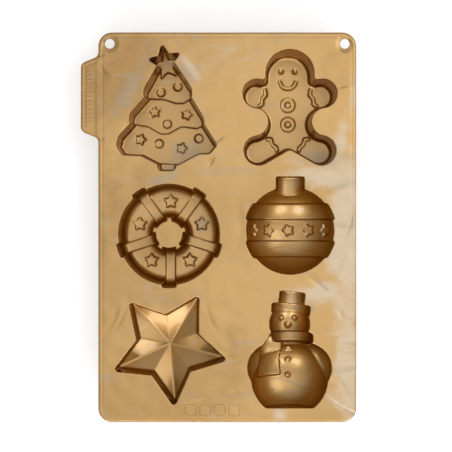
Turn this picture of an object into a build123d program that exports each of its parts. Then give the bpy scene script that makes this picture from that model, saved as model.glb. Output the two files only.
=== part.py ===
"""A silicone baking mould: one flat sheet that carries six mini cake cups.

Everything is in millimetres with +Z up. The cups hang below the sheet and open upwards.
X runs across the sheet, Y along it, and z = 0 is the level on which the cups stand.
The real mould is one moulding, so its regions meet face to face and don't overlap.
"""
from build123d import *
import os
from math import asin, atan2, cos, degrees, hypot, radians, sin, sqrt, tan

# The sheet, whose outline follows from the cups and these margins
margin_left = 11.7
margin_right = 15.1
margin_high = 7.1
margin_low = 9.8
sheet_thickness = 1.6
sheet_corner_radius = 9.5
rim_width = 2.7
rim_thickness = 2.4
rim_groove = 0.35
rim_rounding = 0.6

# The grip tab on the left edge
tab_reach = 12.0
tab_root_length = 56.0
tab_shoulder_slope = 22.0
tab_corner_distance = 16.3
tab_corner_radius = 5.0
tab_root_radius = 3.5
tab_rib_count = 13
tab_rib_pitch = 2.9
tab_rib_length = 5.4
tab_rib_width = 1.0
tab_rib_height = 0.3

# The hanging holes in the two upper corners
hang_hole_radius = 3.4
hang_hole_edge_distance = 7.8
eyelet_radius = 6.6
eyelet_flat_radius = 4.5
eyelet_dish = 0.7
eyelet_boss = 0.6

# How far the mouths of neighbouring cups stand apart
tree_wreath_gap = 6.6
wreath_star_gap = 4.5
ginger_bauble_gap = 7.7
bauble_snowman_gap = 11.6

# Four plain squares pressed into the sheet near its lower edge
panel_count = 4
panel_size = 7.6
panel_pitch = 9.9
panel_line = 0.8
panel_depth = 0.3
panel_corner_radius = 1.2
panel_row_offset = 10.0
panel_row_distance = 8.4

# What all cups share
cup_depth = 24.5
cup_wall = 1.5
cup_floor = 2.0
relief_depth = 1.2
relief_draft = 0.6
small_star_notch_share = 0.56

# The tree cup
tree_x = -41.4
tree_wall_inset = 1.3
tree_tier_step = 1.0
tree_tier_rounding = 2.4
tree_top_star_radius = 12.8
tree_top_star_notch = 5.9
tree_top_star_rise = 31.9
tree_top_star_turn = 11.0
tree_top_star_rounding = 1.2
tree_top_star_inset = 0.9
tree_top_star_x = -1.1
tree_trunk_x = 0.0
tree_trunk_rounding = 3.2
tree_trunk_width = 12.6
tree_trunk_end = -42.8
tree_dot_radius = 3.4
tree_star_radius = 5.2

# The gingerbread man cup
ginger_x = 42.7
ginger_head_radius = 16.5
ginger_head_rise = 23.1
ginger_hand_radius = 10.0
ginger_hand_reach = 22.3
ginger_hand_rise = 9.5
ginger_foot_radius = 10.2
ginger_foot_reach = 21.4
ginger_foot_drop = 29.4
ginger_waist_curve = 8.0
ginger_crotch_drop = 28.8
ginger_neck_rounding = 0.8
ginger_crotch_rounding = 1.5
ginger_wall_inset = 1.8
ginger_floor_rounding = 2.0
ginger_eye_radius = 2.8
ginger_eye_spread = 4.9
ginger_eye_rise = 27.8
ginger_mouth_radius = 5.8
ginger_mouth_rise = 21.4
ginger_mouth_sweep = 160.0
ginger_icing_width = 3.2
ginger_button_radius = 5.6
ginger_button_hole_radius = 1.6
ginger_button_rise = 4.1
ginger_button_pitch = 13.7

# The wreath cup
wreath_x = -39.7
wreath_y = -4.8
wreath_outer_radius = 34.4
wreath_inner_radius = 11.4
wreath_wall_inset = 1.6
wreath_floor_rounding = 4.6
wreath_ribbon_width = 9.8
wreath_ribbon_proud = 2.2
wreath_ribbon_step = 1.1
wreath_ribbon_draft = 3.0
wreath_count = 5
wreath_star_radius = 6.2
wreath_star_ring = 22.9

# The bauble cup
bauble_x = 42.9
bauble_y = -2.2
bauble_mouth_radius = 30.0
bauble_lift = 0.6
bauble_band_proud = 1.4
bauble_middle_half = 7.2
bauble_band_half = 18.6
bauble_neck_width = 19.3
bauble_neck_start = 27.2
bauble_neck_end = 36.8
bauble_neck_depth = 12.0
bauble_star_radius = 5.3
bauble_star_depth = 0.9
bauble_star_pitch = 27.0

# The star cup
star_x = -40.1
star_tip_radius = 41.5
star_notch_radius = 22.4
star_turn = 59.5
star_tip_rounding = 2.0
star_wall_depth = 14.0
star_wall_inset = 1.2

# The snowman cup, whose heights are measured up from its flat base
snowman_x = 42.5
snow_body_radius = 26.1
snow_body_rise = 20.2
snow_body_lift = 1.4
snow_arm_radius = 17.2
snow_arm_reach = 11.6
snow_arm_rise = 27.2
snow_arm_depth = 13.0
snow_trough_share = 0.97
snow_end_inset = 0.8
snow_end_rounding = 1.8
snow_end_clearance = 0.3
snow_collar_width = 30.0
snow_collar_height = 8.8
snow_collar_rise = 47.2
snow_collar_x = 1.0
snow_collar_lift = 2.5
snow_collar_rounding = 3.6
snow_head_radius = 13.8
snow_head_rise = 57.2
snow_head_lift = 4.5
snow_head_inset = 0.7
snow_brim_width = 26.4
snow_brim_height = 7.4
snow_brim_rise = 67.2
snow_brim_lift = 7.5
snow_crown_width = 17.6
snow_crown_end = 79.4
snow_crown_lift = 11.5
snow_hat_tilt = -5.5
snow_hat_x = 0.9
snow_tail_inset = 1.6
snow_tail_rounding = 1.5
snow_tail_proud = 1.4
snow_knot_x = -8.0
snow_knot_rise = 40.0
snow_knot_radius = 16.0
snow_knot_depth = 16.5
snow_button_radius = 2.8
snow_button_rises = (38.3, 29.9, 19.5)
snow_nose_radius = 2.9
snow_nose_rise = 55.3
snow_eye_radius = 2.2
snow_eye_spread = 4.2
snow_eye_rise = 59.6

# What follows from the sizes above
top = cup_depth + cup_floor
bauble_ball_depth = cup_depth - bauble_lift
snow_collar_depth = cup_depth - snow_collar_lift
snow_head_depth = cup_depth - snow_head_lift
snow_brim_depth = cup_depth - snow_brim_lift
snow_crown_depth = cup_depth - snow_crown_lift
snow_body_depth = cup_depth - snow_body_lift
wreath_reach = wreath_outer_radius + wreath_ribbon_proud
wreath_high = wreath_y + wreath_reach
wreath_low = wreath_y - wreath_reach
tree_low = wreath_high + tree_wreath_gap
tree_y = tree_low - tree_trunk_end
tree_high = tree_y + tree_top_star_rise + tree_top_star_radius
star_high = wreath_low - wreath_star_gap
star_y = star_high - star_tip_radius * sin(radians(star_turn))
bauble_high = bauble_y + bauble_neck_end
bauble_low = bauble_y - bauble_mouth_radius
ginger_low = bauble_high + ginger_bauble_gap
ginger_y = ginger_low + ginger_foot_drop + ginger_foot_radius
snowman_high = bauble_low - bauble_snowman_gap
snowman_base_y = snowman_high - snow_crown_end
sheet_left = wreath_x - wreath_reach - margin_left
sheet_right = bauble_x + bauble_mouth_radius + margin_right
sheet_low = snowman_base_y - margin_low
sheet_high = tree_high + margin_high
sheet_x = (sheet_left + sheet_right) / 2
sheet_y = (sheet_low + sheet_high) / 2
sheet_width = sheet_right - sheet_left
sheet_length = sheet_high - sheet_low
tab_centre_y = sheet_high - tab_corner_distance - tab_root_length / 2
reach = 4 * sheet_length
far = reach / 2
small = 0.01


def face_of(points):
    """A flat face with straight sides through the points."""
    return make_face(Polyline(*points, close=True))


def drafted(outline, depth, inset):
    """The outline at the mouth of a cup, narrowed by the inset on its way down."""
    taper = degrees(atan2(inset, depth))
    return extrude(Pos(0, 0, top) * outline, amount=depth, dir=(0, 0, -1), taper=taper)


def below_top(solid):
    """The part of a solid under the top face of the sheet."""
    return solid & (Pos(0, 0, top - reach / 2) * Box(reach, reach, reach))


def between_y(low, high):
    """A block that holds everything from one y to another."""
    return Pos(0, (low + high) / 2, 0) * Box(reach, high - low, reach)


def star_face(tip, notch, turn, tip_rounding=0.0):
    """A five-pointed star with its first tip at an angle."""
    step = 36.0
    points = []
    for i in range(10):
        radius = tip if i % 2 == 0 else notch
        angle = radians(turn + step * i)
        points.append((radius * cos(angle), radius * sin(angle)))
    face = face_of(points)
    if tip_rounding > 0:
        tips = [v for v in face.vertices() if hypot(v.X, v.Y) > (tip + notch) / 2]
        face = fillet(tips, tip_rounding)
    return face


def pressed(outline, floor_depth):
    """A shallow figure pressed deeper than the floor around it."""
    start = top - floor_depth
    taper = degrees(atan2(relief_draft, relief_depth))
    return extrude(Pos(0, 0, start) * outline, amount=relief_depth, dir=(0, 0, -1), taper=taper)


def small_star(radius, turn):
    """The outline of a small pressed star."""
    return star_face(radius, radius * small_star_notch_share, turn)


def stroke(points, width):
    """A line of icing: round spots joined by straight bands."""
    outline = Sketch()
    for start, end in zip(points, points[1:]):
        middle = ((start[0] + end[0]) / 2, (start[1] + end[1]) / 2)
        length = hypot(end[0] - start[0], end[1] - start[1])
        angle = degrees(atan2(end[1] - start[1], end[0] - start[0]))
        outline += Pos(*middle) * Rot(0, 0, angle) * SlotCenterToCenter(length, width)
    return outline


def mirrored(points):
    """The same points on the other side of the Y axis."""
    return [(-x, y) for x, y in points]


def above_z(level):
    """A block that holds everything above a level."""
    return Pos(0, 0, level + reach / 2) * Box(reach, reach, reach)


def cup_shell(form, reliefs):
    """The wall of a cup between its outer and its inner form, with its pressed figures."""
    shell = form(cup_wall, cup_floor) - form(0, 0)
    for relief in reliefs:
        shell -= relief
    return shell


# The tree

def tree_tiers():
    """Outlines of the top, middle and lower tiers, each with its own wavy lower edge."""
    upper = [(-5.4, 31.0), (-15.4, 13.0), (-16.0, 7.4), (-3.0, 7.0), (5.5, 4.2), (11.0, 4.4),
             (17.4, 8.2), (16.8, 13.8), (5.4, 31.0)]
    middle = [(-9.5, 14.0), (-25.0, -3.6), (-25.9, -10.4), (-14.5, -12.2), (-6.0, -17.2),
              (0.5, -17.2), (9.5, -12.2), (20.5, -13.6), (25.8, -10.8), (24.6, -5.4), (12.6, 14.0)]
    lower = [(-19.0, -4.0), (-32.8, -19.2), (-34.4, -25.6), (-30.2, -31.9), (-17.5, -32.4), (-6.0, -38.4),
             (8.0, -38.8), (22.0, -31.4), (29.2, -31.4), (34.6, -25.2), (21.0, -4.0)]
    return upper, middle, lower


def tree_star():
    """The star at the top of the tree, seen from its own centre."""
    turned = 90 + tree_top_star_turn
    star = star_face(tree_top_star_radius, tree_top_star_notch, turned, tree_top_star_rounding)
    return Pos(tree_top_star_x, tree_top_star_rise) * star


def tree_form(side, floor):
    """The hollow of the tree: every tier lies a step less deep than the one above it."""
    trunk = RectangleRounded(tree_trunk_width, tree_trunk_width, tree_trunk_rounding)
    trunk = Pos(tree_trunk_x, tree_trunk_end + tree_trunk_width / 2) * trunk
    outlines = [tree_star()]
    for points in tree_tiers():
        face = face_of(points)
        outlines.append(fillet(face.vertices(), tree_tier_rounding))
    outlines.append(trunk)
    form = None
    for i, outline in enumerate(outlines):
        depth = cup_depth - tree_tier_step * i
        inset = tree_top_star_inset if i == 0 else tree_wall_inset
        grown = offset(outline, amount=side) if side > 0 else outline
        tier = drafted(grown, depth + floor, inset)
        form = tier if form is None else form + tier
    return Pos(tree_x, tree_y) * form


def tree_reliefs():
    """Round baubles and little stars pressed into the tiers."""
    first = cup_depth - tree_tier_step
    dots = [(-5.2, 13.6, 0), (6.6, 17.6, 0), (-0.8, -8.7, 1), (-6.4, -22.6, 2), (21.5, -18.9, 2)]
    stars = [(-9.5, -0.2, 97, 1), (13.0, -2.1, 72, 1), (-19.4, -19.7, 72, 2), (9.5, -25.8, 72, 2)]
    reliefs = []
    for x, y, tier in dots:
        depth = first - tree_tier_step * tier
        reliefs.append(pressed(Pos(x, y) * Circle(tree_dot_radius), depth))
    for x, y, turn, tier in stars:
        depth = first - tree_tier_step * tier
        reliefs.append(pressed(Pos(x, y) * small_star(tree_star_radius, turn), depth))
    return [Pos(tree_x, tree_y) * relief for relief in reliefs]


# The gingerbread man

def meeting_point(centre_a, radius_a, centre_b, radius_b):
    """Where two circles cross, on the left of the way from the first centre to the second."""
    across = centre_b[0] - centre_a[0]
    along = centre_b[1] - centre_a[1]
    distance = hypot(across, along)
    forward = (distance ** 2 + radius_a ** 2 - radius_b ** 2) / (2 * distance)
    sideways = sqrt(radius_a ** 2 - forward ** 2)
    x = centre_a[0] + (forward * across - sideways * along) / distance
    y = centre_a[1] + (forward * along + sideways * across) / distance
    return x, y


def toward(start, goal, distance):
    """The point at a distance from the start on the way to the goal."""
    length = hypot(goal[0] - start[0], goal[1] - start[1])
    share = distance / length
    return start[0] + share * (goal[0] - start[0]), start[1] + share * (goal[1] - start[1])


def flipped(point):
    """The same point on the other side of the Y axis."""
    return -point[0], point[1]


def ginger_outline(grow):
    """Head, hands and feet are round, and hollow curves join them."""
    head_radius = ginger_head_radius + grow
    hand_radius = ginger_hand_radius + grow
    foot_radius = ginger_foot_radius + grow
    neck_curve = ginger_neck_rounding + cup_wall - grow
    crotch_curve = ginger_crotch_rounding + cup_wall - grow
    waist_curve = ginger_waist_curve + cup_wall - grow
    head = (0.0, ginger_head_rise)
    hand = (ginger_hand_reach, ginger_hand_rise)
    foot = (ginger_foot_reach, -ginger_foot_drop)
    crown = (0.0, ginger_head_rise + head_radius)
    # the small curve of the neck touches the head and the hand
    nook = meeting_point(hand, hand_radius + neck_curve, head, head_radius + neck_curve)
    if nook[1] < hand[1]:
        nook = meeting_point(head, head_radius + neck_curve, hand, hand_radius + neck_curve)
    cheek = toward(head, nook, head_radius)
    shoulder = toward(hand, nook, hand_radius)
    neck = toward(nook, (0.0, nook[1] - neck_curve), neck_curve)
    # the long curve of the waist touches the hand and the foot
    waist = meeting_point(hand, hand_radius + waist_curve, foot, foot_radius + waist_curve)
    armpit = toward(hand, waist, hand_radius)
    hip = toward(foot, waist, foot_radius)
    narrow = (waist[0] - waist_curve, waist[1])
    # the inner side of the leg is straight from the foot to the rounded crotch
    run = hypot(foot[0], foot[1] + ginger_crotch_drop)
    slope = atan2(foot[1] + ginger_crotch_drop, foot[0]) - asin(ginger_foot_radius / run)
    corner = -ginger_crotch_drop - grow / cos(slope)
    leg = sqrt(foot[0] ** 2 + (foot[1] - corner) ** 2 - foot_radius ** 2)
    heel = (leg * cos(slope), leg * sin(slope) + corner)
    start = crotch_curve * tan(-slope)
    thigh = (start * cos(slope), start * sin(slope) + corner)
    crotch = (0.0, crotch_curve - crotch_curve / cos(slope) + corner)
    fingertip = (hand[0] + hand_radius, hand[1])
    toe = (foot[0] + foot_radius, foot[1])
    right = [(shoulder, fingertip, armpit), (armpit, narrow, hip), (hip, toe, heel)]
    edges = [ThreePointArc(flipped(cheek), crown, cheek), ThreePointArc(cheek, neck, shoulder)]
    edges += [ThreePointArc(*points) for points in right]
    edges.append(Line(heel, thigh))
    edges.append(ThreePointArc(thigh, crotch, flipped(thigh)))
    edges.append(Line(flipped(thigh), flipped(heel)))
    for first, middle, last in reversed(right):
        edges.append(ThreePointArc(flipped(last), flipped(middle), flipped(first)))
    edges.append(ThreePointArc(flipped(shoulder), flipped(neck), flipped(cheek)))
    return make_face(edges)


def ginger_form(side, floor):
    """The hollow of the gingerbread man with its rounded floor edge."""
    form = drafted(ginger_outline(side), cup_depth + floor, ginger_wall_inset)
    lowest = form.faces().sort_by(Axis.Z)[0]
    form = fillet(lowest.edges(), ginger_floor_rounding)
    return Pos(ginger_x, ginger_y) * form


def ginger_reliefs():
    """Eyes, mouth, buttons and icing, all pressed into the floor."""
    arm_icing = [(-16.1, 14.8), (-15.5, 11.3), (-18.1, 8.3), (-18.1, 4.8), (-21.8, 2.3)]
    leg_icing = [(-15.5, -19.7), (-12.0, -20.0), (-11.0, -23.8), (-8.1, -26.0), (-7.5, -30.1)]
    smile = []
    smile_steps = 6
    for i in range(smile_steps + 1):
        angle = radians(270 + ginger_mouth_sweep * (i / smile_steps - 0.5))
        x = ginger_mouth_radius * cos(angle)
        smile.append((x, ginger_mouth_rise + ginger_mouth_radius * sin(angle)))
    lines = [smile, arm_icing, mirrored(arm_icing), leg_icing, mirrored(leg_icing)]
    reliefs = [pressed(stroke(line, ginger_icing_width), cup_depth) for line in lines]
    for side in (-1, 1):
        eye = Pos(side * ginger_eye_spread, ginger_eye_rise, cup_floor + ginger_eye_radius - relief_depth)
        reliefs.append(eye * Sphere(ginger_eye_radius))
    for i in range(2):
        rise = ginger_button_rise - i * ginger_button_pitch
        button = Circle(ginger_button_radius) - Circle(ginger_button_hole_radius)
        reliefs.append(pressed(Pos(0, rise) * button, cup_depth))
    return [Pos(ginger_x, ginger_y) * relief for relief in reliefs]


# The wreath

def wreath_ring(inner, outer, depth, inset, rounding):
    """A round trough with rounded lower corners."""
    face = face_of([(inner, top), (outer, top), (outer - inset, top - depth), (inner + inset, top - depth)])
    low = [v for v in face.vertices() if v.Y < top - depth / 2]
    face = fillet(low, rounding)
    return revolve(Plane.XZ * face, Axis.Z)


def wreath_form(side, floor):
    """The trough and the five ribbons that wrap it."""
    depth = cup_depth - wreath_ribbon_step + floor
    rounding = wreath_floor_rounding + side
    inner = wreath_inner_radius - side
    outer = wreath_outer_radius + side
    form = wreath_ring(inner, outer, depth, wreath_wall_inset, rounding)
    proud = wreath_ribbon_proud
    low = depth + wreath_ribbon_step
    wide_ring = wreath_ring(inner - proud, outer + proud, low, wreath_wall_inset, rounding)
    width = wreath_ribbon_width + 2 * side
    length = wreath_outer_radius + 3 * proud
    narrowing = top * tan(radians(wreath_ribbon_draft))
    strip = drafted(Pos(length / 2, 0) * Rectangle(length, width), top, narrowing)
    for i in range(wreath_count):
        turn = 90 + 180 / wreath_count + 360 / wreath_count * i
        form += wide_ring & (Rot(0, 0, turn) * strip)
    return Pos(wreath_x, wreath_y) * form


def wreath_cylinders():
    """Two cylinders that part the trough's walls from its floor."""
    outer_radius = wreath_outer_radius - wreath_wall_inset - wreath_floor_rounding
    inner_radius = wreath_inner_radius + wreath_wall_inset + wreath_floor_rounding
    place = Pos(wreath_x, wreath_y, top / 2)
    return place * Cylinder(outer_radius, 2 * top), place * Cylinder(inner_radius, 2 * top)


def wreath_reliefs():
    """An upright star between each pair of ribbons."""
    depth = cup_depth - wreath_ribbon_step
    reliefs = []
    for i in range(wreath_count):
        angle = radians(90 + 360 / wreath_count * i)
        place = Pos(wreath_star_ring * cos(angle), wreath_star_ring * sin(angle))
        reliefs.append(pressed(place * small_star(wreath_star_radius, 90), depth))
    return [Pos(wreath_x, wreath_y) * relief for relief in reliefs]


# The bauble

def bauble_ball():
    """The ball's radius and how far its centre stands above the sheet's top face."""
    radius = (bauble_mouth_radius ** 2 + bauble_ball_depth ** 2) / (2 * bauble_ball_depth)
    return radius, radius - bauble_ball_depth


def bauble_form(side, floor):
    """A ball with two raised bands, round about one line, and a neck with a round floor."""
    radius, lift = bauble_ball()
    outline = Circle(radius + side)
    for direction in (-1, 1):
        low = bauble_middle_half - side
        high = bauble_band_half + side
        strip = Pos(0, direction * (low + high) / 2) * Rectangle(reach, high - low)
        outline += Circle(radius + bauble_band_proud + side) & strip
    half_plane = Pos(reach / 2, 0) * Rectangle(reach, reach)
    ball = Pos(0, 0, top + lift) * revolve(outline & half_plane, Axis.Y)
    half_width = bauble_neck_width / 2 + side
    neck_end = bauble_neck_end + side
    straight = bauble_neck_depth - bauble_neck_width / 2
    section = Pos(0, top - straight) * Circle(half_width)
    section += Pos(0, top - straight / 2) * Rectangle(2 * half_width, straight)
    neck = extrude(Plane.XZ * section, amount=-neck_end)
    return Pos(bauble_x, bauble_y) * (below_top(ball) + below_top(neck))


def bauble_reliefs():
    """Little stars pressed into the middle band, square to its surface."""
    radius, lift = bauble_ball()
    reliefs = []
    for i in (-2, -1, 0, 1, 2):
        turn = 0 if i < 0 else 180
        star = Pos(0, 0, -radius - bauble_star_depth) * small_star(bauble_star_radius, turn)
        star = extrude(star, amount=3 * bauble_star_depth, dir=(0, 0, 1))
        leaning = Rot(0, -bauble_star_pitch * i, 0) * star
        reliefs.append(Pos(bauble_x, bauble_y, top + lift) * leaning)
    return reliefs


# The star

def star_form(side, floor):
    """A steep wall, then ten facets that run down to one point under the middle."""
    outline = star_face(star_tip_radius, star_notch_radius, star_turn, star_tip_rounding)
    grown = offset(outline, amount=side) if side > 0 else outline
    wall_depth = star_wall_depth + floor / 2
    wall = drafted(grown, wall_depth, star_wall_inset)
    base = wall.faces().sort_by(Axis.Z)[0]
    apex = Vertex(0, 0, top - cup_depth - floor)
    facets = Solid.make_loft([base.outer_wire(), apex], ruled=True)
    return Pos(star_x, star_y) * (wall + facets)


# The snowman

def sunk_ball(x, y, mouth_radius, depth, grown):
    """A ball that meets the sheet's top face in a circle and reaches down to a depth."""
    radius = (mouth_radius ** 2 + depth ** 2) / (2 * depth)
    return Pos(x, y, top + radius - depth) * Sphere(radius + grown)


def snow_trough(width, low, high, depth, rounding, side, floor):
    """A short trough with a round floor that runs along Y, for the hat and the collar."""
    half = width / 2 + side
    height = high - low + 2 * side
    low_half = half * snow_trough_share
    straight = max(depth + floor - half, cup_floor / 2)
    knee = top - straight
    section = face_of([(-half, top), (half, top), (low_half, knee), (-low_half, knee)])
    low_arc = Pos(0, knee) * Ellipse(low_half, depth + floor - straight)
    section = section + low_arc
    body = extrude(Plane.XZ * section, amount=height / 2, both=True)
    body = below_top(body)
    plan = RectangleRounded(2 * half + 2 * snow_end_clearance, height, rounding + side)
    body = body & drafted(plan, top, snow_end_inset)
    return Pos(0, (low + high) / 2) * body


def snow_head(side, floor):
    """A round head: a drafted wall that ends in a half ball."""
    ball = snow_head_radius - snow_head_inset + side
    straight = snow_head_depth + floor - ball
    profile = face_of([(0, top), (snow_head_radius + side, top), (ball, top - straight), (0, top - straight)])
    wall = revolve(Plane.XZ * profile, Axis.Z)
    low_half = Pos(0, 0, top - straight) * Sphere(ball)
    low_half = low_half & (Pos(0, 0, top / 2 - straight) * Box(reach, reach, top))
    return Pos(0, snow_head_rise) * (wall + low_half)


def snow_hat(side, floor):
    """Brim and crown, tilted together about the middle of the brim."""
    brim_half = snow_brim_height / 2
    rounding = snow_end_rounding
    brim = snow_trough(snow_brim_width, -brim_half, brim_half, snow_brim_depth, rounding, side, floor)
    crown_end = snow_crown_end - snow_brim_rise
    crown = snow_trough(snow_crown_width, 0, crown_end, snow_crown_depth, rounding, side, floor)
    return Pos(snow_hat_x, snow_brim_rise) * Rot(0, 0, snow_hat_tilt) * (brim + crown)


def snow_body(side, floor):
    """The round belly, cut flat at its base, with a round arm on each side."""
    belly = sunk_ball(0, snow_body_rise, snow_body_radius, snow_body_depth, floor)
    belly = belly & between_y(-side, far)
    for direction in (-1, 1):
        x = direction * snow_arm_reach
        belly += sunk_ball(x, snow_arm_rise, snow_arm_radius, snow_arm_depth, floor)
    return below_top(belly)


def snow_scarf(side, floor):
    """The collar round the neck and the tail that hangs down the front."""
    half = snow_collar_height / 2
    low = snow_collar_rise - half
    high = snow_collar_rise + half
    rounding = snow_collar_rounding
    collar = snow_trough(snow_collar_width, low, high, snow_collar_depth, rounding, side, floor)
    tail = face_of([(-13.0, 50.0), (-20.0, 41.0), (-22.6, 18.0), (-3.2, 18.0), (-4.8, 31.0), (-3.0, 45.0)])
    tail = fillet(tail.vertices(), snow_tail_rounding)
    grown = offset(tail, amount=side) if side > 0 else tail
    # the tail lies on the belly and bulges where it comes out of the collar
    round_front = sunk_ball(0, snow_body_rise, snow_body_radius, snow_body_depth, snow_tail_proud + floor)
    round_front += sunk_ball(snow_knot_x, snow_knot_rise, snow_knot_radius, snow_knot_depth, floor)
    tail = drafted(grown, top, snow_tail_inset) & round_front
    return Pos(snow_collar_x, 0) * collar + tail


def snowman_form(side, floor):
    """The whole snowman as one hollow."""
    form = snow_body(side, floor) + snow_head(side, floor) + snow_hat(side, floor) + snow_scarf(side, floor)
    return Pos(snowman_x, snowman_base_y) * form


def snowman_reliefs():
    """Round buttons down the front, a round nose and two eyes."""
    reliefs = []
    for rise in snow_button_rises:
        sag = snow_body_radius - sqrt(snow_body_radius ** 2 - (rise - snow_body_rise) ** 2)
        button = Pos(0, rise, top - snow_body_depth + sag + snow_button_radius - relief_depth)
        reliefs.append(button * Sphere(snow_button_radius))
    head_floor = top - snow_head_depth
    nose = Pos(0, snow_nose_rise, head_floor + snow_nose_radius - relief_depth)
    reliefs.append(nose * Sphere(snow_nose_radius))
    for side in (-1, 1):
        eye = Pos(side * snow_eye_spread, snow_eye_rise, head_floor + snow_eye_radius - relief_depth / 2)
        reliefs.append(eye * Sphere(snow_eye_radius))
    return [Pos(snowman_x, snowman_base_y) * relief for relief in reliefs]


# The sheet and what is on it

def sheet_outline(inset=0.0):
    """The outline of the sheet, drawn in from its edge."""
    radius = sheet_corner_radius - inset
    return Pos(sheet_x, sheet_y) * RectangleRounded(sheet_width - 2 * inset, sheet_length - 2 * inset, radius)


def slab(outline, thickness):
    """A flat plate whose upper face is the top face of the sheet."""
    return extrude(Pos(0, 0, top) * outline, amount=thickness, dir=(0, 0, -1))


def make_rim():
    """The thicker edge of the sheet, with a fine groove on its inner side."""
    rim = slab(sheet_outline() - sheet_outline(rim_width), rim_thickness)
    upper = rim.faces().sort_by(Axis.Z)[-1]
    rim = fillet(upper.outer_wire().edges(), rim_rounding)
    upper = rim.faces().sort_by(Axis.Z)[-1]
    return chamfer(upper.inner_wires()[0].edges(), rim_groove)


def eyelet_place(side):
    """The centre of a hanging hole."""
    x = sheet_x + side * (sheet_width / 2 - hang_hole_edge_distance)
    return Pos(x, sheet_high - hang_hole_edge_distance)


def make_eyelet(side):
    """A dished ring round a hanging hole, kept inside the rim."""
    low = top - sheet_thickness - eyelet_boss
    profile = [(hang_hole_radius, low), (eyelet_radius, low), (eyelet_radius, top),
               (eyelet_flat_radius, top - eyelet_dish), (hang_hole_radius, top - eyelet_dish)]
    ring = eyelet_place(side) * revolve(Plane.XZ * face_of(profile), Axis.Z)
    return ring & slab(sheet_outline(rim_width), rim_thickness)


def make_tab():
    """The grip tab with its sloping shoulders and plain grip ribs."""
    edge = sheet_left
    fall = tab_reach * tan(radians(tab_shoulder_slope))
    half = tab_root_length / 2
    points = [(edge, tab_centre_y + half), (edge - tab_reach, tab_centre_y + half - fall),
              (edge - tab_reach, tab_centre_y - half + fall), (edge, tab_centre_y - half)]
    outline = face_of(points)
    outer = [v for v in outline.vertices() if v.X < edge - tab_reach / 2]
    outline = fillet(outer, tab_corner_radius) + sheet_outline()
    on_edge = [v for v in outline.vertices() if abs(v.X - edge) < small]
    roots = [v for v in on_edge if abs(v.Y - tab_centre_y) < half + small]
    outline = fillet(roots, tab_root_radius) - sheet_outline()
    tab = slab(outline, rim_thickness)
    rib_x = edge - tab_reach / 2
    first = tab_centre_y + tab_rib_pitch * (tab_rib_count - 1) / 2
    for i in range(tab_rib_count):
        rib = Pos(rib_x, first - tab_rib_pitch * i) * Rectangle(tab_rib_length, tab_rib_width)
        tab -= slab(rib, tab_rib_height)
    return tab


def make_panels():
    """The grooves of four plain rounded squares."""
    outlines = Sketch()
    for i in range(panel_count):
        along = panel_pitch * (i - (panel_count - 1) / 2)
        place = Pos(sheet_x - panel_row_offset + along, sheet_low + panel_row_distance)
        outer = RectangleRounded(panel_size, panel_size, panel_corner_radius)
        inner_size = panel_size - 2 * panel_line
        inner = RectangleRounded(inner_size, inner_size, panel_corner_radius / 2)
        outlines += place * (outer - inner)
    return slab(outlines, panel_depth)


def make_fields():
    """The sheet inside the rim, as one field round each cup."""
    left_to_right = (wreath_x + wreath_reach + bauble_x - bauble_mouth_radius) / 2
    tree_wreath = (tree_low + wreath_high) / 2
    wreath_star = (wreath_low + star_high) / 2
    ginger_bauble = (ginger_low + bauble_high) / 2
    bauble_snowman = (bauble_low + snowman_high) / 2
    places = {
        "tree": (tree_form, sheet_left, left_to_right, tree_wreath, sheet_high),
        "wreath": (wreath_form, sheet_left, left_to_right, wreath_star, tree_wreath),
        "star": (star_form, sheet_left, left_to_right, sheet_low, wreath_star),
        "gingerbread": (ginger_form, left_to_right, sheet_right, ginger_bauble, sheet_high),
        "bauble": (bauble_form, left_to_right, sheet_right, bauble_snowman, ginger_bauble),
        "snowman": (snowman_form, left_to_right, sheet_right, sheet_low, bauble_snowman),
    }
    plain = slab(sheet_outline(rim_width), sheet_thickness)
    for side in (-1, 1):
        plain -= eyelet_place(side) * Pos(0, 0, top) * Cylinder(eyelet_radius, 4 * sheet_thickness)
    plain -= make_panels()
    fields = {}
    for name, (form, x_low, x_high, y_low, y_high) in places.items():
        block = Box(x_high - x_low, y_high - y_low, 2 * top)
        field = plain & (Pos((x_low + x_high) / 2, (y_low + y_high) / 2, top) * block)
        field -= form(cup_wall, cup_floor)
        fields["sheet_field_" + name] = field.solids().sort_by(SortBy.VOLUME)[-1]
    return fields


def write(name, solid):
    """Move a finished region into the common frame and write it."""
    moved = Pos(tab_reach / 2 - sheet_x, -sheet_y, 0) * solid
    export_step(moved, f"parts/{name}.step")


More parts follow.
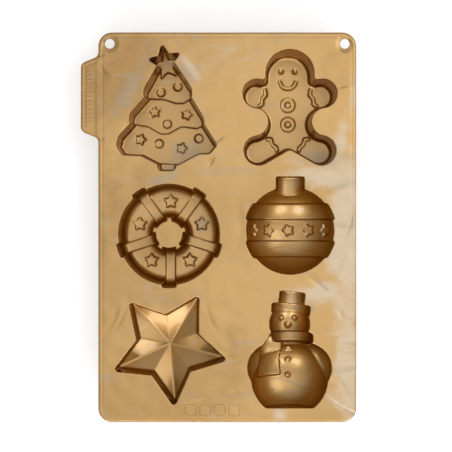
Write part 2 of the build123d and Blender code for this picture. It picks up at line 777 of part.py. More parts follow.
def main():
    os.makedirs("parts", exist_ok=True)
    regions = {}

    # The cups, each parted into its walls and its floor or into the figure's own parts
    tree = cup_shell(tree_form, tree_reliefs())
    shallowest = cup_depth - tree_tier_step * 4
    regions["tree_wall"] = tree & above_z(top - shallowest)
    regions["tree_floor"] = tree - above_z(top - shallowest)

    ginger = cup_shell(ginger_form, ginger_reliefs())
    regions["gingerbread_wall"] = ginger & above_z(cup_floor)
    regions["gingerbread_floor"] = ginger - above_z(cup_floor)

    wreath = cup_shell(wreath_form, wreath_reliefs())
    outer_part, inner_part = wreath_cylinders()
    regions["wreath_outer_wall"] = wreath - outer_part
    regions["wreath_floor"] = (wreath & outer_part) - inner_part
    regions["wreath_inner_wall"] = wreath & inner_part

    bauble = cup_shell(bauble_form, bauble_reliefs())
    neck_line = bauble_y + bauble_neck_start
    regions["bauble_neck"] = bauble & between_y(neck_line, far)
    regions["bauble_bowl"] = bauble - between_y(neck_line, far)

    star = cup_shell(star_form, [])
    regions["star_wall"] = star & above_z(top - star_wall_depth)
    regions["star_facets"] = star - above_z(top - star_wall_depth)

    snowman = cup_shell(snowman_form, snowman_reliefs())
    collar_low = snowman_base_y + snow_collar_rise - snow_collar_height / 2
    collar_high = snowman_base_y + snow_collar_rise + snow_collar_height / 2
    hat_line = snowman_base_y + snow_brim_rise - snow_brim_height / 2
    regions["snowman_belly"] = snowman & between_y(-far, collar_low)
    regions["snowman_collar"] = snowman & between_y(collar_low, collar_high)
    regions["snowman_head"] = snowman & between_y(collar_high, hat_line)
    regions["snowman_hat"] = snowman & between_y(hat_line, far)

    # The sheet with its rim, tab and eyelets
    regions.update(make_fields())
    island = Circle((wreath_inner_radius + wreath_outer_radius) / 2)
    island = slab(Pos(wreath_x, wreath_y) * island, sheet_thickness)
    regions["wreath_island"] = island - wreath_form(cup_wall, cup_floor)
    regions["rim_bead"] = make_rim()
    regions["hang_eyelet_left"] = make_eyelet(-1)
    regions["hang_eyelet_right"] = make_eyelet(1)
    regions["grip_tab"] = make_tab()

    for name, solid in regions.items():
        write(name, solid)


main()
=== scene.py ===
import math

import bmesh
import bpy
import numpy as np
from bpy.props import FloatProperty, FloatVectorProperty, IntProperty, PointerProperty
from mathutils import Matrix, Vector


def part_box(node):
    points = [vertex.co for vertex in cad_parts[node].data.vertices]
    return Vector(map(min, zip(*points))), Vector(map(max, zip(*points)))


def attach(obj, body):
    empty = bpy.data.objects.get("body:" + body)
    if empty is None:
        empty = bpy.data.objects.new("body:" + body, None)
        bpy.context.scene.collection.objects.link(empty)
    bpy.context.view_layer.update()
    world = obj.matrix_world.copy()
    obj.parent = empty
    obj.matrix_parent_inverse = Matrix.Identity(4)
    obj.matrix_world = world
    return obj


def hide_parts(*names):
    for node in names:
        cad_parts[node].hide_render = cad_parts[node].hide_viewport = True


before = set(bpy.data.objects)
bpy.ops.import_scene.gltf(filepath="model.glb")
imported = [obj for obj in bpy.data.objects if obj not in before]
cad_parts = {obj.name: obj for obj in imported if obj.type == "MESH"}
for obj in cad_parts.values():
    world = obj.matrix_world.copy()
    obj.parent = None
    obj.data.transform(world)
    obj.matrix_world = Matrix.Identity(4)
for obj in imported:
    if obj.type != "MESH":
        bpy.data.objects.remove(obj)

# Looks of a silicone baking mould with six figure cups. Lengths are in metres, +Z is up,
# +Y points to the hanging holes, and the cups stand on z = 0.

bl_info = {
    "name": "Marbled baking mould",
    "version": (1, 0, 0),
    "blender": (4, 5, 0),
    "location": "3D View > Sidebar > Mould",
    "description": "Builds the moulded body, the grip ribs, the blank squares and the stage",
    "category": "Object",
}

MM = 0.001
BODY = "root"
MERGE_DISTANCE = 0.002 * MM

# Which CAD nodes each field of the moulding stands for, besides its own part of the sheet and rim
CUPS = {
    "tree": ("tree_wall", "tree_floor"),
    "gingerbread": ("gingerbread_wall", "gingerbread_floor"),
    "wreath": ("wreath_outer_wall", "wreath_floor", "wreath_inner_wall", "wreath_island"),
    "bauble": ("bauble_bowl", "bauble_neck"),
    "star": ("star_wall", "star_facets"),
    "snowman": ("snowman_belly", "snowman_collar", "snowman_head", "snowman_hat"),
}
EYELETS = {"tree": "hang_eyelet_left", "gingerbread": "hang_eyelet_right"}

# The sheet's outline, read from the frame
RIM_LOW, RIM_HIGH = (Vector(corner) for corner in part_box("rim_bead"))
TAB_LOW, TAB_HIGH = (Vector(corner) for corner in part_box("grip_tab"))
TOP = RIM_HIGH.z
SHEET_X = (RIM_LOW.x + RIM_HIGH.x) / 2
SHEET_Y = (RIM_LOW.y + RIM_HIGH.y) / 2
TAB_Y = (TAB_LOW.y + TAB_HIGH.y) / 2
RIM_CORNER = 9.5 * MM
TAB_ROOT_HALF = 28.0 * MM
TAB_SLOPE = math.radians(22.0)
TAB_DROP = 0.25 * MM
ROW_X = SHEET_X - 10.0 * MM
ROW_Y = SHEET_Y - 124.6 * MM

# Waves in the sheet: seed, longest and shortest wave and how many are added up. The swing is how
# much the long ones change the sheet's depth, as a share of it
LONG_WAVES = (4, 120 * MM, 38 * MM, 9)
SHORT_WAVES = (11, 26 * MM, 9 * MM, 12)
WAVE_SWING = 0.6

# How much a dent bends along its length, in millimetres per square millimetre
DENT_BEND = 0.012

# Dents that pushing cakes out has left in the sheet: x and y from the sheet's middle, the
# direction in degrees, length, width and depth in millimetres
DENTS = (
    (-84.5, 106.0, -48.0, 9.0, 1.1, 0.35),
    (-63.0, 62.0, 68.0, 16.0, 2.2, 0.3),
    (-68.0, 70.0, 75.0, 14.0, 1.6, 0.22),
    (-79.0, -66.0, 62.0, 22.0, 2.0, 0.35),
    (-73.0, -64.0, 60.0, 20.0, 1.4, 0.25),
    (-12.0, -62.0, -70.0, 20.0, 1.6, 0.28),
    (-2.0, -86.0, -42.0, 14.0, 1.3, 0.3),
    (-6.0, 60.0, 30.0, 10.0, 1.4, 0.3),
    (-11.0, 45.0, 60.0, 7.0, 1.2, 0.45),
    (79.0, 96.0, 10.0, 7.0, 0.9, 0.35),
    (62.0, -38.0, -35.0, 16.0, 2.4, 0.5),
    (75.0, -30.0, 62.0, 20.0, 1.6, 0.3),
    (84.0, 4.0, 80.0, 10.0, 1.2, 0.4),
    (77.0, -58.0, -65.0, 8.0, 1.6, 0.5),
    (70.0, -100.0, -50.0, 26.0, 1.6, 0.35),
    (9.0, -2.0, 85.0, 34.0, 3.0, 0.3),
    (-40.0, -43.8, 4.0, 20.0, 1.8, 0.25),
    (-20.0, -119.0, 8.0, 18.0, 1.4, 0.25),
    (49.0, -110.0, -16.3, 36.0, 0.7, 0.5),
    (76.0, -121.6, -32.0, 28.0, 0.8, 0.5),
)

# Where the mix turned out pale or grey, and dark patches that are partly darker mix and partly painted shade
# on the sheet's left and top-left:
# x and y from the sheet's middle, the direction in degrees, length and width in millimetres, and how strong
# the patch is
PEARL_PATCHES = (
    (81.0, -8.0, 90.0, 110.0, 13.0, 1.0),
    (82.0, -92.0, 90.0, 90.0, 11.0, 0.9),
    (64.0, 34.0, -8.0, 44.0, 8.0, 0.85),
    (66.0, -44.0, 12.0, 44.0, 9.0, 0.85),
    (78.0, 60.0, 80.0, 40.0, 6.0, 0.6),
    (35.0, -128.0, 0.0, 12.0, 5.0, 0.7),
    (86.0, 92.0, 85.0, 22.0, 4.0, 0.6),
    (-25.0, 108.0, -53.0, 26.0, 3.5, 0.7),
    (0.0, 112.0, 0.0, 60.0, 16.0, 0.3),
)
ASH_PATCHES = (
    (-65.5, 96.0, 59.0, 42.0, 6.0, 0.85),
    (-28.0, 105.0, -53.0, 24.0, 4.0, 0.7),
    (-28.0, 53.0, 20.0, 32.0, 9.0, 0.75),
    (64.5, 48.5, 0.0, 20.0, 7.0, 0.9),
    (-42.4, 33.5, 15.0, 24.0, 4.5, 0.9),
    (-16.5, 2.0, 60.0, 14.0, 5.0, 0.6),
    (-81.0, -103.0, 0.0, 14.0, 3.0, 0.7),
    (-20.0, -45.0, -10.0, 16.0, 5.0, 0.6),
    (49.0, -110.0, -16.3, 36.0, 0.8, 0.9),
    (76.0, -121.6, -32.0, 30.0, 1.3, 1.0),
    (64.0, -39.0, -40.0, 14.0, 1.6, 0.9),
    (58.0, -54.0, -70.0, 12.0, 1.6, 0.8),
    (84.0, 98.0, 30.0, 14.0, 2.0, 0.7),
    (85.0, 2.0, 70.0, 18.0, 1.6, 0.7),
    (80.0, -108.0, -60.0, 24.0, 2.0, 0.7),
    (78.0, 28.0, 20.0, 20.0, 3.0, 0.5),
)
# Partly darker mix, partly painted shade where the sheet's left and top-left lie darker
BRONZE_SHADE_PATCHES = (
    (-70.0, 108.0, 60.0, 80.0, 26.0, 1.0),
    (5.0, -92.0, 90.0, 60.0, 13.0, 0.6),
    (-86.0, -4.0, 90.0, 60.0, 5.0, 0.7),
    (-60.0, 30.0, 30.0, 40.0, 14.0, 0.5),
    (-77.0, 20.0, 90.0, 60.0, 10.0, 0.7),
    (-30.0, -50.0, 0.0, 60.0, 10.0, 0.4),
)
MASKS = {"pearl": PEARL_PATCHES, "ash": ASH_PATCHES, "bronze_and_shade": BRONZE_SHADE_PATCHES}

# Lamps: place from the sheet's middle and above the ground, size, and the setting that holds the level
PANELS = {
    "overhead panel": ((0.08, 0.1, 1.1), (0.9, 0.9), "overhead_level"),
    "left softbox": ((-0.31, -0.88, 0.64), (0.4, 0.45), "softbox_level"),
    "right softbox": ((0.43, -0.9, 0.61), (0.5, 0.45), "softbox_level"),
    "side panel": ((0.72, 0.3, 0.8), (0.7, 0.6), "side_level"),
}

# Rays that see the white surroundings and the lifted floor; the rest see plain light
SEEN = ("Is Camera Ray", "Is Glossy Ray", "Is Transmission Ray")


# Kinds of setting

def length_setting(name, description, default):
    """A length in metres."""
    return FloatProperty(name=name, description=description, default=default, unit="LENGTH", precision=5)


def amount_setting(name, description, default):
    """A number from 0 up."""
    return FloatProperty(name=name, description=description, default=default, min=0)


def share_setting(name, description, default):
    """A share from 0 to 1."""
    return FloatProperty(name=name, description=description, default=default, min=0, max=1, subtype="FACTOR")


def colour_setting(name, description, default):
    """A colour."""
    return FloatVectorProperty(name=name, description=description, default=default, subtype="COLOR", size=3)


def count_setting(name, description, default):
    """A whole number from 0 up."""
    return IntProperty(name=name, description=description, default=default, min=0)


class MouldBody(bpy.types.PropertyGroup):
    """The moulded body"""
    voxel: length_setting("Voxel", "How finely the moulded surface is divided", 0.6 * MM)
    overlap: length_setting("Overlap", "How far copies of regions grow before they join", 0.08 * MM)
    lip_rounds: count_setting("Lip rounding", "Rounds of smoothing near the level of the sheet", 3)
    base_rounds: count_setting("Floor rounding", "Rounds of smoothing in the cups", 1)
    trough_rounds: count_setting("Wreath rounding", "Rounds of smoothing on the wreath's walls and bands", 8)
    trough_lift: length_setting("Trough lift", "Rise of the wreath's floor towards its walls", 3.4 * MM)
    wave: length_setting("Wave", "Depth of the slow waves in the sheet", 0.42 * MM)
    ripple: amount_setting("Ripple", "Depth of the short waves, as a share of the slow ones", 0.3)
    dents: amount_setting("Dents", "How deep the dents are, against their list", 1.6)
    edge_drop: length_setting("Edge drop", "How far the outermost edge rolls down", 0.8 * MM)
    edge_width: length_setting("Edge width", "Width of the rolled edge", 1.5 * MM)
    groove: length_setting("Rim groove", "Depth of the line inside the rim", 0.18 * MM)
    groove_inset: length_setting("Groove inset", "How far the line lies inside the edge", 2.9 * MM)


class MouldFinish(bpy.types.PropertyGroup):
    """The marbled pearl finish"""
    gold: colour_setting("Gold", "Main colour", (0.61, 0.375, 0.14))
    # Bronze colours the darker clouds of the mix and also the painted shade of the dark patches
    bronze_and_shade: colour_setting("Bronze", "Darker clouds in the gold", (0.45, 0.26, 0.088))
    # Painted shade: the amber colour darkens the cups' upright walls, where shade falls
    wall_shade_amber: colour_setting("Amber", "Deep colour of upright walls", (0.31, 0.145, 0.004))
    pearl: colour_setting("Pearl", "Pale patches", (0.67, 0.535, 0.37))
    ash: colour_setting("Ash", "Grey patches", (0.43, 0.345, 0.24))
    edge_tint: colour_setting("Edge tint", "Colour of the shine seen along the surface", (0.85, 0.58, 0.26))
    metallic: share_setting("Pearl metal", "How metallic the pearl pigment looks", 1.0)
    roughness: share_setting("Roughness", "Satin roughness of the silicone", 0.4)
    skin: share_setting("Skin", "How strong the smooth outer skin shines", 0.6)
    body_bump: share_setting("Body bump", "How strong grain and wrinkles are on the body", 0.35)
    mark_bump: share_setting("Mark bump", "How strong grain and wrinkles are on the raised marks", 0.15)


class GripRibs(bpy.types.PropertyGroup):
    """Plain ribs on the grip tab"""
    count: count_setting("Count", "Number of ribs", 13)
    pitch: length_setting("Pitch", "Distance from rib to rib", 2.9 * MM)
    length: length_setting("Length", "Length of a rib across the tab", 5.4 * MM)
    width: length_setting("Width", "Width of a rib", 1.2 * MM)
    height: length_setting("Height", "Height of a rib, much of it sunk in the tab", 0.5 * MM)


class BlankSquares(bpy.types.PropertyGroup):
    """A row of plain squares near the lower edge"""
    count: count_setting("Count", "Number of squares", 4)
    pitch: length_setting("Pitch", "Distance from square to square", 9.9 * MM)
    size: length_setting("Size", "Length of a side", 7.4 * MM)
    rounding: length_setting("Rounding", "Radius of the corners", 1.2 * MM)
    line: length_setting("Line", "Radius of the raised line", 0.26 * MM)


class StudioStage(bpy.types.PropertyGroup):
    """Floor, lamps and camera"""
    camera_height: length_setting("Camera height", "Camera above the sheet", 0.7)
    camera_x: length_setting("Camera X", "Camera beside the sheet's middle", -0.85 * MM)
    camera_y: length_setting("Camera Y", "Camera beside the sheet's middle", 0.85 * MM)
    seen_width: length_setting("Seen width", "Width of the picture at the sheet", 0.3078)
    floor_size: length_setting("Floor", "Length of the floor's sides", 6.0)
    floor_colour: colour_setting("Floor colour", "Colour of the floor", (0.8, 0.8, 0.8))
    floor_glow: amount_setting("Floor glow", "Glow that makes the floor look white where it is seen", 0.36)
    sky_level: amount_setting("Sky level", "Light from all round", 0.85)
    overhead_level: amount_setting("Overhead level", "Brightness of the overhead panel", 0.45)
    softbox_level: amount_setting("Softbox level", "Brightness of the two softboxes", 4.3)
    side_level: amount_setting("Side level", "Brightness of the panel on the right", 1.5)
    horizon_level: amount_setting("Horizon level", "Brightness of the surroundings low down", 0.05)
    zenith_level: amount_setting("Zenith level", "Brightness of the surroundings overhead", 0.85)


# Mesh helpers

def swollen_copies(names, swell):
    """One mesh of merged copies of CAD nodes, each grown a little so that neighbours overlap."""
    joined = bmesh.new()
    for name in names:
        piece = bmesh.new()
        piece.from_mesh(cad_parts[name].data)
        bmesh.ops.remove_doubles(piece, verts=piece.verts, dist=MERGE_DISTANCE)
        piece.normal_update()
        for vert in piece.verts:
            vert.co += vert.normal * swell
        grown = bpy.data.meshes.new("grown copy")
        piece.to_mesh(grown)
        piece.free()
        joined.from_mesh(grown)
        bpy.data.meshes.remove(grown)
    mesh = bpy.data.meshes.new("joined copies")
    joined.to_mesh(mesh)
    joined.free()
    return mesh


def evaluated_mesh(mesh, add_modifier):
    """The mesh after one modifier, as a new mesh."""
    holder = bpy.data.objects.new("holder", mesh)
    bpy.context.scene.collection.objects.link(holder)
    add_modifier(holder)
    depsgraph = bpy.context.evaluated_depsgraph_get()
    result = bpy.data.meshes.new_from_object(holder.evaluated_get(depsgraph))
    bpy.data.objects.remove(holder)
    return result


def voxel_surface(mesh, voxel):
    """The skin of the joined copies on an even grid."""
    def add_remesh(holder):
        remesh = holder.modifiers.new("even skin", "REMESH")
        remesh.mode = "VOXEL"
        remesh.voxel_size = voxel
        remesh.adaptivity = 0.0
    return evaluated_mesh(mesh, add_remesh)


def points_of(mesh):
    """The mesh's points as an array."""
    flat = np.empty(len(mesh.vertices) * 3, dtype=np.float32)
    mesh.vertices.foreach_get("co", flat)
    return flat.reshape(-1, 3).astype(np.float64)


def edges_of(mesh):
    """The mesh's edges as an array of point pairs."""
    flat = np.empty(len(mesh.edges) * 2, dtype=np.int32)
    mesh.edges.foreach_get("vertices", flat)
    return flat.reshape(-1, 2)


def smoothed(points, edges, rounds, share):
    """Move each point towards its neighbours, then part of the way back, so that walls stay thick."""
    count = len(points)
    ends = np.concatenate([edges[:, 0], edges[:, 1]])
    others = np.concatenate([edges[:, 1], edges[:, 0]])
    degree = np.maximum(np.bincount(ends, minlength=count), 1)[:, None]
    forward, backward = 0.6, -0.42
    for _ in range(rounds):
        for step in (forward, backward):
            sums = [np.bincount(ends, weights=points[others, axis], minlength=count) for axis in range(3)]
            points = points + (np.stack(sums, 1) / degree - points) * (step * share)[:, None]
    return points


def ramp(values, low, high):
    """0 below low, 1 above high and a soft step between them."""
    share = np.clip((values - low) / (high - low), 0.0, 1.0)
    return share * share * (3 - 2 * share)


def slow_waves(x, y, seed, longest, shortest, count):
    """A sum of slow sine waves in many directions, about -1 to 1."""
    random = np.random.default_rng(seed)
    total = np.zeros_like(x)
    for _ in range(count):
        angle = random.uniform(0, 2 * math.pi)
        length = shortest * (longest / shortest) ** random.uniform()
        phase = random.uniform(0, 2 * math.pi)
        total += np.sin(2 * math.pi * (x * math.cos(angle) + y * math.sin(angle)) / length + phase)
    return total / math.sqrt(2 * count)


def inside_rim(x, y):
    """How far a point lies inside the sheet's rounded outline."""
    half_x = (RIM_HIGH.x - RIM_LOW.x) / 2
    half_y = (RIM_HIGH.y - RIM_LOW.y) / 2
    over_x = np.abs(x - SHEET_X) - half_x + RIM_CORNER
    over_y = np.abs(y - SHEET_Y) - half_y + RIM_CORNER
    outside = np.hypot(np.maximum(over_x, 0), np.maximum(over_y, 0))
    return RIM_CORNER - outside - np.minimum(np.maximum(over_x, over_y), 0)


def inside_tab(x, y):
    """How far a point lies inside the tab's outer edge and its two shoulders."""
    reach = TAB_HIGH.x - TAB_LOW.x
    shoulder = TAB_ROOT_HALF - reach * math.tan(TAB_SLOPE)
    from_edge = x - TAB_LOW.x
    across = np.abs(y - TAB_Y) - shoulder
    from_shoulder = (from_edge * math.tan(TAB_SLOPE) - across) * math.cos(TAB_SLOPE)
    return np.minimum(from_edge, from_shoulder)


def line_dip(distance, place, width):
    """The profile of a narrow rounded groove."""
    return np.exp(-((distance - place) / width) ** 2)


def spot(x, y, spot_x, spot_y, turn, length, width, bend):
    """A soft oval spot on the sheet, 1 in its middle, that bends a little along its length."""
    angle = math.radians(turn)
    from_x = (x - SHEET_X) / MM - spot_x
    from_y = (y - SHEET_Y) / MM - spot_y
    along = from_x * math.cos(angle) + from_y * math.sin(angle)
    across = from_y * math.cos(angle) - from_x * math.sin(angle) - bend * along ** 2
    return np.exp(-(2 * along / length) ** 2 - (across / width) ** 2)


def patch_mask(x, y, patches):
    """How strongly any of the patches colours each point."""
    strongest = np.zeros_like(x)
    for patch_x, patch_y, turn, length, width, strength in patches:
        here = strength * spot(x, y, patch_x, patch_y, turn, length, width, 0.0)
        strongest = np.maximum(strongest, here)
    return strongest


def wall_shade_mask(mesh):
    """1 where the skin stands upright, 0 where it lies flat: where painted shade darkens the walls."""
    normals = np.empty(len(mesh.vertices) * 3, dtype=np.float32)
    mesh.vertex_normals.foreach_get("vector", normals)
    tilt = 1 - np.abs(normals.reshape(-1, 3)[:, 2])
    flattest, steepest = 0.07, 0.55
    return ramp(tilt, flattest, steepest)


def sheet_dip(x, y, body):
    """How far the upper skin lies below the CAD sheet: waves, dents, the line inside the rim and its edge."""
    dip = body.wave * (1.0 + WAVE_SWING * slow_waves(x, y, *LONG_WAVES))
    dip += body.ripple * body.wave * slow_waves(x, y, *SHORT_WAVES)
    for dent_x, dent_y, turn, length, width, depth in DENTS:
        dip += body.dents * depth * MM * spot(x, y, dent_x, dent_y, turn, length, width, DENT_BEND)
    rim_line, tab_line = 0.7 * MM, 0.8 * MM
    tab_start, tab_full, tab_overlap = 0.5 * MM, 2.5 * MM, 4 * MM
    rim = inside_rim(x, y)
    tab = inside_tab(x, y)
    dip += body.groove * line_dip(rim, body.groove_inset, rim_line)
    on_tab = ramp(-rim, tab_start, tab_full)
    tab_side = (x < RIM_LOW.x + tab_overlap) & (tab > 0)
    edge = np.where(tab_side, tab, rim)
    dip += body.edge_drop * (1 - np.clip(edge / body.edge_width, 0.0, 1.0)) ** 2
    dip += body.groove * on_tab * line_dip(tab, body.groove_inset, tab_line)
    dip += TAB_DROP * on_tab
    return dip


def wreath_reach(points):
    """How far each point lies from the wreath's middle, and the trough's inner and outer reach."""
    low, high = (Vector(corner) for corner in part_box("wreath_outer_wall"))
    island_low, island_high = (Vector(corner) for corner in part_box("wreath_island"))
    reach = np.hypot(points[:, 0] - (low.x + high.x) / 2, points[:, 1] - (low.y + high.y) / 2)
    return reach, (island_high.x - island_low.x) / 2, (high.x - low.x) / 2


def wreath_share(points):
    """1 on the wreath's walls and bands, 0 elsewhere and on its floor."""
    reach, _, outer = wreath_reach(points)
    mouth_start, mouth_end = outer - 1 * MM, outer + 2 * MM
    floor_level, wall_level = TOP - 20 * MM, TOP - 17 * MM
    within = 1 - ramp(reach, mouth_start, mouth_end)
    return within * ramp(points[:, 2], floor_level, wall_level)


def trough_rise(points, lift):
    """How much the wreath's floor rises towards its walls, so that the trough is round."""
    reach, inner, outer = wreath_reach(points)
    across = np.abs(reach - (inner + outer) / 2) / ((outer - inner) / 2)
    roundness, widest = 2.2, 1.25
    rise = lift * np.clip(across, 0.0, 1.0) ** roundness * (across < widest)
    return rise * np.clip(1 - points[:, 2] / TOP, 0.0, 1.0)


def levelled(points):
    """Level the shallow CAD marks, where the ribs and squares stand as pieces of their own."""
    x, y, z = points.T
    mark_depth = 0.6 * MM
    root_inset, edge_inset = 0.8 * MM, 1.5 * MM
    ribs_half, row_half, row_half_height = 21 * MM, 22 * MM, 5.2 * MM
    near_top = z > TOP - mark_depth
    beside_rim = (x < RIM_LOW.x - root_inset) & (x > TAB_LOW.x + edge_inset)
    on_tab = beside_rim & (np.abs(y - TAB_Y) < ribs_half)
    on_row = (np.abs(x - ROW_X) < row_half) & (np.abs(y - ROW_Y) < row_half_height)
    points[near_top & (on_tab | on_row), 2] = TOP
    return points


def cut_flat(solid, place, normal):
    """Cut a closed mesh with a plane, keep the side behind it and close the cut."""
    parts = solid.verts[:] + solid.edges[:] + solid.faces[:]
    on_plane = 1e-7
    cut = bmesh.ops.bisect_plane(solid, geom=parts, plane_co=place, plane_no=normal, dist=on_plane,
                                 clear_outer=True)
    edges = [edge for edge in cut["geom_cut"] if isinstance(edge, bmesh.types.BMEdge)]
    outline = [edge for edge in edges if edge.is_boundary]
    for face in bmesh.ops.holes_fill(solid, edges=outline, sides=0)["faces"]:
        for edge in face.edges:
            edge.smooth = False


def field_mesh(name, source, cuts):
    """A field of the body between planes, with flat faces where it meets its neighbours."""
    solid = bmesh.new()
    solid.from_mesh(source)
    for place, normal in cuts:
        cut_flat(solid, place, normal)
    caps = [face for face in solid.faces if len(face.verts) > 4]
    for face in solid.faces:
        face.smooth = len(face.verts) <= 4
    bmesh.ops.triangulate(solid, faces=caps)
    mesh = bpy.data.meshes.new(name)
    solid.to_mesh(mesh)
    solid.free()
    return mesh


def set_mask(mesh, name, values):
    """Store a mask on the mesh's points."""
    mesh.attributes.new(name, "FLOAT", "POINT").data.foreach_set("value", values.astype(np.float32))


def show(name, mesh, material):
    """Link a finished mesh as a piece of the mould, with a mask for each kind of patch."""
    points = points_of(mesh)
    for mask, patches in MASKS.items():
        set_mask(mesh, mask, patch_mask(points[:, 0], points[:, 1], patches))
    piece = bpy.data.objects.new(name, mesh)
    bpy.context.scene.collection.objects.link(piece)
    mesh.materials.clear()
    mesh.materials.append(material)
    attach(piece, BODY)
    return piece


# Materials

def add_socket(tree, name, kind, direction, default=None):
    """A named socket of a node group."""
    socket = tree.interface.new_socket(name=name, in_out=direction, socket_type=kind)
    if default is not None:
        socket.default_value = default
    return socket


def math_node(tree, operation, first, second=None):
    """A math node whose inputs are sockets or numbers."""
    node = tree.nodes.new("ShaderNodeMath")
    node.operation = operation
    for slot, value in enumerate((first, second)):
        if value is None:
            continue
        if isinstance(value, bpy.types.NodeSocket):
            tree.links.new(value, node.inputs[slot])
        else:
            node.inputs[slot].default_value = value
    return node.outputs[0]


def vector_node(tree, operation, first, second=None, scale=None):
    """A vector math node whose inputs are sockets or plain values."""
    node = tree.nodes.new("ShaderNodeVectorMath")
    node.operation = operation
    for slot, value in ((0, first), (1, second), ("Scale", scale)):
        if value is None:
            continue
        if isinstance(value, bpy.types.NodeSocket):
            tree.links.new(value, node.inputs[slot])
        else:
            node.inputs[slot].default_value = value
    return node.outputs[0]


def noise_node(tree, vector, scale, detail=3.0, rough=0.55, distortion=0.0):
    """A noise texture's node. The scale is in waves to a metre."""
    node = tree.nodes.new("ShaderNodeTexNoise")
    tree.links.new(vector, node.inputs["Vector"])
    node.inputs["Scale"].default_value = scale
    node.inputs["Detail"].default_value = detail
    node.inputs["Roughness"].default_value = rough
    node.inputs["Distortion"].default_value = distortion
    return node.outputs


def range_node(tree, value, low, high, to_low=0.0, to_high=1.0):
    """A smooth step from one value to another."""
    node = tree.nodes.new("ShaderNodeMapRange")
    node.interpolation_type = "SMOOTHSTEP"
    tree.links.new(value, node.inputs["Value"])
    node.inputs["From Min"].default_value = low
    node.inputs["From Max"].default_value = high
    node.inputs["To Min"].default_value = to_low
    node.inputs["To Max"].default_value = to_high
    return node.outputs["Result"]


def stretched(tree, vector, turn, stretch):
    """Coordinates turned about Z and squeezed along their new X, for streaks."""
    node = tree.nodes.new("ShaderNodeMapping")
    tree.links.new(vector, node.inputs["Vector"])
    node.inputs["Rotation"].default_value = (0, 0, math.radians(turn))
    upright_stretch = 0.6
    node.inputs["Scale"].default_value = (stretch, 1, upright_stretch)
    return node.outputs["Vector"]


def marbling_group():
    """Ragged edges for the patches, bronze clouds, fine streaks and wrinkles."""
    group = bpy.data.node_groups.new("Pearl marbling", "ShaderNodeTree")
    add_socket(group, "Vector", "NodeSocketVector", "INPUT")
    add_socket(group, "Swirl", "NodeSocketFloat", "INPUT", 0.018)
    add_socket(group, "Ragged", "NodeSocketFloat", "OUTPUT")
    add_socket(group, "Cloud", "NodeSocketFloat", "OUTPUT")
    add_socket(group, "Streak", "NodeSocketFloat", "OUTPUT")
    add_socket(group, "Wrinkle", "NodeSocketFloat", "OUTPUT")
    inlet = group.nodes.new("NodeGroupInput")
    outlet = group.nodes.new("NodeGroupOutput")
    place = inlet.outputs["Vector"]
    bend = noise_node(group, place, scale=14.0, detail=2.0)["Color"]
    bend = vector_node(group, "SUBTRACT", bend, (0.5, 0.5, 0.5))
    bend = vector_node(group, "SCALE", bend, scale=inlet.outputs["Swirl"])
    swirled = vector_node(group, "ADD", place, bend)
    leaning = stretched(group, swirled, turn=30.0, stretch=0.55)
    ragged = noise_node(group, leaning, scale=70.0, detail=4.0, rough=0.6, distortion=0.8)["Fac"]
    cloud = noise_node(group, swirled, scale=11.0, detail=3.0)["Fac"]
    # wrinkles rise to the right on the right half and fall to the right on the left half
    from_middle = vector_node(group, "SUBTRACT", swirled, (SHEET_X, -1.0, -1.0))
    mirrored = vector_node(group, "ABSOLUTE", from_middle)
    long_way = stretched(group, mirrored, turn=-32.0, stretch=0.14)
    streak = noise_node(group, long_way, scale=160.0, detail=2.0, rough=0.5, distortion=0.3)["Fac"]
    where = noise_node(group, swirled, scale=24.0, detail=1.0)["Fac"]
    fine_way = stretched(group, mirrored, turn=-30.0, stretch=0.1)
    wrinkle = noise_node(group, fine_way, scale=360.0, detail=1.5, rough=0.4, distortion=0.25)["Fac"]
    here = range_node(group, where, low=0.46, high=0.6)
    streak = math_node(group, "MULTIPLY", range_node(group, streak, low=0.56, high=0.72), here)
    wrinkle = math_node(group, "MULTIPLY", range_node(group, wrinkle, low=0.45, high=0.75), here)
    group.links.new(ragged, outlet.inputs["Ragged"])
    group.links.new(range_node(group, cloud, low=0.36, high=0.64), outlet.inputs["Cloud"])
    group.links.new(streak, outlet.inputs["Streak"])
    group.links.new(wrinkle, outlet.inputs["Wrinkle"])
    return group


def mesh_mask(tree, name):
    """A mask that the mesh carries."""
    node = tree.nodes.new("ShaderNodeAttribute")
    node.attribute_name = name
    return node.outputs["Fac"]


def ragged_mask(tree, name, ragged, softness, strength):
    """A patch mask from the mesh with its edge broken up by the marbling."""
    raggedness, edge = 1.6, 0.45
    shift = math_node(tree, "MULTIPLY", math_node(tree, "SUBTRACT", ragged, 0.5), raggedness)
    mask = math_node(tree, "ADD", mesh_mask(tree, name), shift)
    return math_node(tree, "MULTIPLY", range_node(tree, mask, edge - softness, edge + softness), strength)


def mix_colour(tree, factor, first, second):
    """Mix two colours, each a socket or a triple, by a factor."""
    node = tree.nodes.new("ShaderNodeMix")
    node.data_type = "RGBA"
    if isinstance(factor, bpy.types.NodeSocket):
        tree.links.new(factor, node.inputs[0])
    else:
        node.inputs[0].default_value = factor
    for slot, value in ((6, first), (7, second)):
        if isinstance(value, bpy.types.NodeSocket):
            tree.links.new(value, node.inputs[slot])
        else:
            node.inputs[slot].default_value = (*value, 1.0)
    return node.outputs[2]


